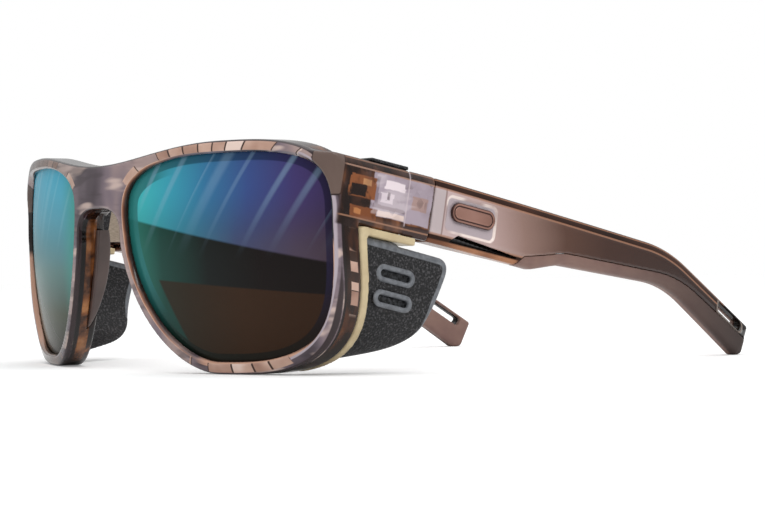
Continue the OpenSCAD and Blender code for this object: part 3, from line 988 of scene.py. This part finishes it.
def relief_blocks(paint, base, along, mask):
    """Uneven lit blocks in a row, with dark seams: along counts the blocks."""
    row = {"W": along, "Scale": 1, "Randomness": 1}
    flat = {"voronoi_dimensions": "1D"}
    seam = paint.cells("Distance", row, feature="DISTANCE_TO_EDGE", **flat)
    tone = paint.cells("Color", row, **flat)
    mask = mask * tone.rise(0.25, 0.27)
    tone = tone * 0.7 + paint.noise(150, 2) * 0.7 - 0.2
    shades = {0.1: "6f554c", 0.3: "8f6c5c", 0.5: "b18c7b", 0.68: "c9a796", 0.85: "e6cec2"}
    base = base.mix(mask, tone.ramp(shades))
    return base.mix(mask * seam.rise(0.07, 0.03), "3f2c26")


def inner_walls(paint, base, from_lens, depth_in, nasal):
    """Painted light and shade in the walls of the lens openings and beside the nose."""
    copper = {0.05: "2a1711", 0.2: "6b4130", 0.4: "b07c61", 0.5: "e2bda6", 0.62: "8d6654"}
    inner = from_lens.rise(0.6, 0.5) * nasal
    base = base.mix(inner, (from_lens + paint.noise(120).wobble(0.5)).ramp(copper))
    outer = from_lens.rise(1.25, 1.05) * nasal.rise(0.3, 0.1) * depth_in.rise(2.6, 2.0)
    height = paint.place_mm("Z")
    rough = height + paint.noise(90).wobble(6)
    # on the outer walls, painted light low down and painted shade higher up
    lower = paint.blend(rough.rise(26, 29), "c69a84", "1d1413")
    base = base.mix(outer * rough.rise(42, 38), lower)
    # beside the nose, a band of painted shade and then painted amber light
    beside_nose = nasal * from_lens.near(2.5, 0.7, 0.2) * height.rise(37, 35)
    amber = paint.noise(190, 3).ramp({0.36: "3f2415", 0.5: "84502c", 0.66: "b07646"})
    for middle, half, tone in ((1.6, 0.7, "0a0606"), (3.9, 1.1, amber)):
        base = base.mix(beside_nose * depth_in.near(middle, half, 0.3), tone)
    return base


def smoky_plastic(paint, depth_in, outside):
    """Mauve with painted glints and painted shade streaks on the face of the front, dark with
    painted orange light behind it.
    """
    mauves = {0.34: "3a2f36", 0.45: "5d5159", 0.54: "7b6c74", 0.66: "a38d89"}
    thin = paint.noise(75, 2, (1, 1, 0.45)).ramp(mauves)
    glints = paint.noise(170, 2, (0.3, 1, 1.5)).rise(0.53, 0.66)
    thin = thin.mix(glints, "dcc3b8", 0.7)
    # painted shade: dark streaks between the painted glints
    shade_streaks = paint.noise(230, 2, (0.25, 1, 1.6)).rise(0.5, 0.35)
    thin = thin.mix(shade_streaks, "32272b", 0.5)
    browns = {0.36: "0d0706", 0.5: "27160f", 0.6: "4f2d1b", 0.7: "a5673a"}
    deep = paint.noise(150, 3, (1, 1, 0.3)).ramp(browns)
    base = thin.mix(depth_in.rise(1.5, 2.0) * outside, deep)
    dark_line = depth_in.near(1.9, 0.15, 0.25) * outside
    return base.mix(dark_line, "1c1210")


def rim_relief(paint, base, from_lens, depth_in, in_side_wall):
    """Lit blocks round the rims, and down the side walls of the front."""
    turn, blocks, height = paint.layers("turn", "blocks", "slope_w")
    row = blocks * from_lens.near(1.4, 0.9, 0.15)
    base = relief_blocks(paint, base, turn / 11, row)
    wall = depth_in.near(3.9, 0.7, 0.2) * in_side_wall
    wall = wall * height.rise(-15, -16) * height.rise(-34, -32)
    wall = wall * paint.noise(110, 0).rise(0.42, 0.46)
    return relief_blocks(paint, base, height / 2.2, wall)


def frame_plastic():
    """Clear smoky brown: mauve where it is thin, dark with orange light where it is deep."""
    paint = paint_for("frame_plastic")
    depth_in, from_lens, nasal = paint.layers("depth", "from_lens", "nasal")
    blocks, inside, corner = paint.layers("blocks", "inside", "corner")
    outside = from_lens.rise(1.4, 1.8)
    base = smoky_plastic(paint, depth_in, outside)
    base = inner_walls(paint, base, from_lens, depth_in, nasal)
    in_side_wall = outside * nasal.rise(0.3, 0.1)
    base = rim_relief(paint, base, from_lens, depth_in, in_side_wall)
    # painted highlight: a pale line along the lip of the rim beside the lens
    lip = from_lens.near(1.3, 0.15, 0.2) * nasal.rise(0.5, 0.2)
    lip = lip * blocks.rise(0.5, 0.1) * depth_in.rise(1.2, 0.8)
    base = base.mix(lip, "b0a4ac")
    # painted shade: a dark line along the outer edge of the face
    edge = inside.rise(0.45, 0.25) * depth_in.rise(1.6, 1.2)
    base = base.mix(edge, "33272a")
    taupe = paint.noise(40, 1).ramp({0.35: "54443f", 0.65: "6b5951"})
    base = base.mix(corner.rise(0.3, 0.6), taupe)
    base = base.mix(corner.near(0.3, 0.15, 0.15), "2e211e")
    base = end_piece_colours(paint, base)
    # painted shade where the surface is seen edge on
    base = base.mix(paint.grazing().rise(0.5, 0.92), "2a1f1e", 0.9)
    return paint.finish(
        Base_Color=base,
        Roughness=0.12,
        Coat_Weight=0.15,
        Coat_Roughness=0.03,
        Specular_IOR_Level=0.3,
    )


def temple_side(paint, along, outside):
    """The temple's outer side: pale with painted glow at the hinge, with a pale panel round the
    badge.
    """
    u, w, panel = paint.layers("slope_u", "slope_w", "panel")
    browns = {0: "c4adac", 0.14: "b89d98", 0.24: "8f7268", 0.36: "56392d"}
    browns |= {0.5: "3e241a", 0.75: "301911", 0.92: "24140e"}
    base = (along + paint.noise(45, 2, (1, 0.3, 1)).wobble(0.1)).ramp(browns)
    base = base.mix(u.rise(3.2, 2.8) * w.rise(-14, -11), "bbadae")
    base = base.mix(u.near(3.2, 0.1, 0.25), "7a625c", 0.7)
    base = base.mix(panel.rise(0.0, -0.5) * outside, "b6a8ad")
    lit = paint.noise(150, 1).rise(0.35, 0.55)
    lit = panel.near(0.0, 0.15, 0.3) * lit * outside
    return base.mix(lit, "f7e6de")


def temple_edges(paint, base, below_top, on_bevel):
    """Painted dark shade on the top bevel with painted copper highlight lines along the top, and
    painted copper light along the lower edge.
    """
    u, w = paint.layers("slope_u", "slope_w")
    # painted shade on the top bevel
    dark = paint.noise(60, 1).ramp({0.35: "1f120e", 0.65: "40271d"})
    base = base.mix(on_bevel, dark)
    # painted highlights: thin copper lines along the top
    for line, half in ((2.0, 0.12), (0.45, 0.06)):
        base = base.mix(below_top.near(line, half, 0.2), "a3745a", 0.7)
    under = w.rise(wedge_low - 0.1, wedge_low - 0.5) * u.rise(28, 26)
    copper = paint.noise(90, 1).ramp({0.35: "6e4532", 0.65: "b5805f"})
    return base.mix(under, copper)


def temple_plastic():
    """Clear brown that darkens to the back, with copper light in its edges."""
    paint = paint_for("temple_plastic")
    along, outward, below_top = paint.layers("along", "outward", "below_top")
    slot, wedge = paint.layers("slot", "wedge")
    on_bevel = below_top.rise(2.1, 1.7) * outward.rise(-5.5, -4.5)
    base = temple_side(paint, along, outward.rise(-2.5, -1.5))
    base = temple_edges(paint, base, below_top, on_bevel)
    # painted shade in the wedge hollow
    hollow = wedge.rise(0.35, 0.0) * outward.rise(-0.3, -0.6)
    base = base.mix(hollow, "171110")
    base = base.mix(along.rise(0.905, 0.915), "17100e")
    slot_lip = slot.near(0.6, 0.2, 0.15) * outward.rise(-1, -0.5)
    base = base.mix(slot_lip, "7c7068")
    return paint.finish(
        Base_Color=base,
        Roughness=0.1,
        Specular_IOR_Level=on_bevel.between(0.35, 0.1),
        Coat_Weight=on_bevel.between(0.35, 0.0),
        Coat_Roughness=0.02,
    )


def rubber(paint, base, roughness, **looks):
    """Matte rubber with a fine tooth."""
    grain = paint.noise(5200, 2)
    return paint.finish(
        Base_Color=base,
        Roughness=grain.between(roughness, roughness + 0.1),
        Normal=paint.bump(grain, 0.02, 0.3),
        **looks,
    )


def soft_grip():
    """Taupe rubber; its outer side is darker to the back."""
    paint = paint_for("soft_grip")
    along, outward = paint.layers("along", "outward")
    base = paint.noise(160, 3).ramp({0.3: "755851", 0.7: "85685d"})
    base = base.mix(along.rise(0.35, 1.05) * outward.rise(-2.5, -1.5), "2e211d")
    return rubber(paint, base, 0.42, Specular_IOR_Level=0.4)


def pad_rubber():
    """Dark taupe rubber of the nose pads."""
    paint = paint_for("pad_rubber")
    return rubber(paint, paint.noise(160, 3).ramp({0.3: "43332f", 0.7: "54423d"}), 0.4)


# Light streaks on a lens: place of each one across it, half width, and strength
LENS_STREAKS = [
    (0.0, 0.014, 0.18),
    (0.08, 0.03, 0.2),
    (0.19, 0.012, 0.2),
    (0.38, 0.016, 0.3),
    (0.515, 0.018, 0.26),
]
STREAK_REPEAT = 0.66
STREAK_LEAN = 0.52


def lens_streaks(paint, across, up):
    """Slanting bright lines that fade downward, alike on both lenses rather than mirrored."""
    slant = (paint.place_mm("X") - nasal_x) / lens_w + 0.04 - up * STREAK_LEAN
    slant = slant.math("WRAP", STREAK_REPEAT, 0)
    total = 0.0
    for place, half, strength in LENS_STREAKS:
        total = (slant.near(place, half * 0.3, half) * strength).max(total)
    return total * up.rise(0.48, 0.95) * across.rise(0.02, 0.15)


def lens_coat_and_reflection(paint, across, up):
    """Painted reflection of bright sky over a dark band over dim ground, each changing colour from
    nose to side with the coat.
    """
    sky = {0.04: "45c4c6", 0.25: "3fa6bc", 0.45: "3b7ba6"}
    sky |= {0.65: "3f5590", 0.85: "463c70", 1: "3f3158"}
    dusk = {0.04: "3d9a98", 0.3: "3a7b8b", 0.6: "434a68", 0.85: "4a3f50", 1: "40323c"}
    band = {0: "2c7a6c", 0.2: "1c443c", 0.45: "171c1b", 0.7: "150f0e", 1: "100908"}
    ground = {0.1: "262a20", 0.35: "2d2318", 0.6: "352214", 1: "2e1a0c"}
    sky, dusk, band, ground = (across.ramp(stops) for stops in (sky, dusk, band, ground))
    sky = sky.mix(up.rise(0.85, 0.5), dusk)
    base = band.mix((up + across * 0.24).rise(0.697, 0.712), sky)
    below = (up + across * 0.1).rise(0.42, 0.41)
    beyond_nose = (across + up * 0.42).rise(0.335, 0.35)
    return base.mix(below * beyond_nose, ground)


def lens_border(paint, base, across, up, edge):
    """A darker band inside the edge of the lens, wide beside the nose."""
    border = edge.rise(3.4, 3.1) * across.rise(0.3, 0.1)
    border = border.max(edge.rise(1.9, 1.6))
    high = {0: "2d7d78", 0.25: "24616c", 0.55: "22466a", 0.8: "26264e", 1: "1f1830"}
    low = {0: "1c4a3c", 0.3: "141c17", 1: "120b08"}
    high, low = across.ramp(high), across.ramp(low)
    return base.mix(border, high.mix(up.rise(0.5, 0.1), low), 0.85)


def lens_mirror():
    """Mirror coat with painted reflections: teal by the nose to violet at the side, over a dark
    brown lens.
    """
    paint = paint_for("lens_mirror")
    across, up, edge, behind = paint.layers("across", "up", "edge", "behind")
    base = lens_border(paint, lens_coat_and_reflection(paint, across, up), across, up, edge)
    streaks = lens_streaks(paint, across, up)
    base = base.mix(streaks, "9fc3dc")
    # seen edge on, a softer painted reflection, dim low and teal high, with paler painted streaks
    teals = {0.02: "2c281e", 0.22: "4a5245", 0.45: "5d8180"}
    teals |= {0.72: "5b9fb2", 0.95: "4fadc8"}
    aslant = up.ramp(teals).mix(streaks, "b5dbe4", 0.6)
    aslant = aslant.mix(across.rise(0.25, 0.0), "4e9c92")
    edge_on = paint.grazing().rise(0.42, 0.62)
    base = base.mix(edge_on, aslant)
    brown = up.ramp({0: "3a2517", 0.6: "2a1b13", 1: "1e1512"})
    return paint.finish(
        Base_Color=base.mix(behind, brown),
        Metallic=edge_on.between(0.3, 0.0),
        Roughness=0.2,
        Specular_IOR_Level=edge_on.between(0.1, 0.02),
        Coat_Weight=edge_on.between(0.08, 0.0),
        Coat_Roughness=0.02,
    )


def shield_black():
    """Black with a coarse leathery grain, and smooth grey rims and rings."""
    paint = paint_for("shield_black")
    rings, rim, slots = paint.layers("rings", "rim", "slots")
    smooth = rings.rise(0.05, -0.1).max(rim.rise(1.6, 1.35))
    grain = paint.cells("Distance", {"Scale": 1300, "Randomness": 0.9, "Vector": paint.place()})
    specks = {0.4: "0c0c0e", 0.5: "19191b", 0.57: "2b2a2c", 0.67: "4b4a4c"}
    grey = paint.noise(900, 2).ramp({0.3: "5c5f64", 0.7: "7a7d82"})
    base = paint.noise(2100, 2).ramp(specks).mix(smooth, grey)
    mesh = paint.noise(1900, 2).ramp({0.4: "141517", 0.65: "4c4e52"})
    base = base.mix(slots.rise(0.2, 0.0), mesh)
    return paint.finish(
        Base_Color=base,
        Roughness=smooth.between(0.55, 0.4),
        Normal=paint.bump(grain.mix(smooth, "808080"), 0.14, 0.7),
        Specular_IOR_Level=0.35,
    )


def clip_cream():
    """Satin cream plastic."""
    paint = paint_for("clip_cream")
    return paint.finish(
        Base_Color=paint.noise(200, 3).ramp({0.3: "bba782", 0.7: "d2c09a"}),
        Roughness=0.35,
        Normal=paint.bump(paint.noise(3000), 0.01, 0.3),
    )


def badge_copper():
    """Satin copper-toned metal with a dark edge and a dark engraved line."""
    paint = paint_for("badge_copper")
    (edge,) = paint.layers("edge")
    base = paint.noise(90, 2).ramp({0.35: "8b6457", 0.65: "a37a6d"})
    line = edge.near(BADGE_LINE, 0.1, 0.12)
    base = base.mix(line.max(edge.rise(0.3, 0.1)), "3b211c")
    return paint.finish(Base_Color=base, Metallic=0.5, Roughness=0.3)


def hinge_metal():
    """Brushed steel."""
    paint = paint_for("hinge_metal")
    lines = paint.noise(900, 3, (1, 1, 14))
    return paint.finish(
        Base_Color=lines.ramp({0.35: "a39484", 0.65: "c9b9a7"}),
        Metallic=1.0,
        Roughness=0.3,
        Normal=paint.bump(lines, 0.01, 0.3),
    )


def floor_white():
    """White, lifted to the camera so that the floor runs into the background."""
    paint = paint_for("floor_white")
    return paint.finish(
        Base_Color=(0.93, 0.93, 0.93, 1),
        Roughness=0.9,
        Emission_Color=(1, 1, 1, 1),
        Emission_Strength=paint.add("LightPath", {}, "Is Camera Ray") * 0.19,
    )


# ---- build ----

# Mirrored pieces made from fields: piece, CAD node, body, field, layers, material and its slot
PAIRS = [
    ("nose_rest", "nose_pad", "front", pad_shape, None, pad_rubber, "soft_grip"),
    ("arm", "temple", "arm", temple_field, temple_layers, temple_plastic, "temple_plastic"),
    ("arm_grip", "temple_grip", "arm", grip_field, grip_layers, soft_grip, "soft_grip"),
    ("lozenge", "temple_badge", "arm", badge_field, badge_layers, badge_copper, "badge"),
    ("side_flap", "shield", "side_shield", flap_field, flap_layers, shield_black, "shield_black"),
    ("flap_clip", "shield_clip", "side_shield", clip_field, None, clip_cream, "clip_cream"),
]


def build_front():
    mesh = surface_net(front_field, *box_mm("front_frame"))
    layers, material = front_layers(mesh[0]), frame_plastic()
    make_piece("front_shell", mesh, material, "front", ["front_frame"], layers)


def build_pair(piece, node, body, mesh, material, layers=None):
    """The left and right copy of one piece."""
    for side, sign in SIDES.items():
        rides = body if body == "front" else f"{body}_{side}"
        nodes = [f"{node}_{side}"]
        make_piece(f"{piece}_{side}", mesh, material, rides, nodes, layers, sign)


def build_pieces():
    build_front()
    lens = lens_mesh()
    layers = lens_layers(lens[0])
    build_pair("lens_mirror", "lens", "front", lens, lens_mirror(), layers)
    for piece, node, body, field, layers_of, material, slot in PAIRS:
        step = STEP / 2 if node == "temple_badge" else STEP
        mesh = surface_net(field, *box_mm(f"{node}_left"), step)
        layers = layers_of(mesh[0]) if layers_of else None
        build_pair(piece, node, body, mesh, material(), layers)


def dress_hinges():
    """The hinges are shown as drawn in CAD, in brushed steel."""
    metal = hinge_metal()
    for name in ("hinge_leaf_front", "hinge_leaf_temple", "hinge_screw"):
        for side in SIDES:
            node = frame["nodes"][f"{name}_{side}"]
            node.data.materials.clear()
            node.data.materials.append(metal)


def build_floor():
    data = bpy.data.meshes.new("floor")
    reach = 3.0
    corners = [(x * reach, y * reach, 0) for x, y in ((-1, -1), (1, -1), (1, 1), (-1, 1))]
    data.from_pydata(corners, [], [(0, 1, 2, 3)])
    data.materials.append(floor_white())
    put_in_scene("floor", data)


def build_light(name, place, aim, size, power):
    """A softbox of some width and height, aimed at a point."""
    data = bpy.data.lights.new(name, "AREA")
    data.shape = "RECTANGLE"
    data.size, data.size_y = size
    data.energy = power
    light = put_in_scene(name, data)
    light.location = place
    light.rotation_euler = (Vector(aim) - Vector(place)).to_track_quat("-Z", "Y").to_euler()


def build_world():
    """White to the camera; to everything else a soft dome, brightest overhead."""
    paint = Paint(bpy.data.worlds.new("studio"))
    height = paint.add("SeparateXYZ", {0: paint.add("TexCoord", {}, "Generated")}, "Z")
    dome = paint.add("MapRange", {"Value": height, "To Min": 0.45, "To Max": 1.1})
    seen = paint.add("LightPath", {}, "Is Camera Ray")
    strength = paint.add("Mix", {"Factor": seen, "A": dome, "B": 1.0})
    bpy.context.scene.world = paint.finish("Background", Color=(1, 1, 1, 1), Strength=strength)


# The camera was fitted to the outlines in the picture
VIEW_AZIMUTH = math.radians(54.03)  # 0 looks straight at the front
VIEW_RISE = math.radians(-0.24)
VIEW_ROLL = math.radians(-0.9)
VIEW_DISTANCE = 0.5812
VIEW_LENS = 108.4
VIEW_SHIFT = Vector((0, 0.0056, -0.0005))  # from the middle of the glasses to the aim


def build_camera():
    low, high = bounds_at_load
    aim = (low + high) / 2 + VIEW_SHIFT
    back = Vector((math.sin(VIEW_AZIMUTH), -math.cos(VIEW_AZIMUTH), math.tan(VIEW_RISE)))
    back.normalize()
    data = bpy.data.cameras.new("camera")
    data.lens = VIEW_LENS
    camera = put_in_scene("camera", data)
    camera.location = aim + back * VIEW_DISTANCE
    turn = (-back).to_track_quat("-Z", "Y").to_matrix() @ Matrix.Rotation(VIEW_ROLL, 3, "Z")
    camera.rotation_euler = turn.to_euler()
    bpy.context.scene.camera = camera


build_pieces()
dress_hinges()
build_floor()
build_light("softbox_top", (0.1, 0.0, 0.7), (0, 0, 0), (0.9, 0.9), 1.8)
build_light("softbox_side", (0.55, -0.15, 0.45), (0.05, 0, 0.03), (0.5, 0.06), 0.6)
build_world()
build_camera()
bpy.context.scene.view_settings.view_transform = "Standard"
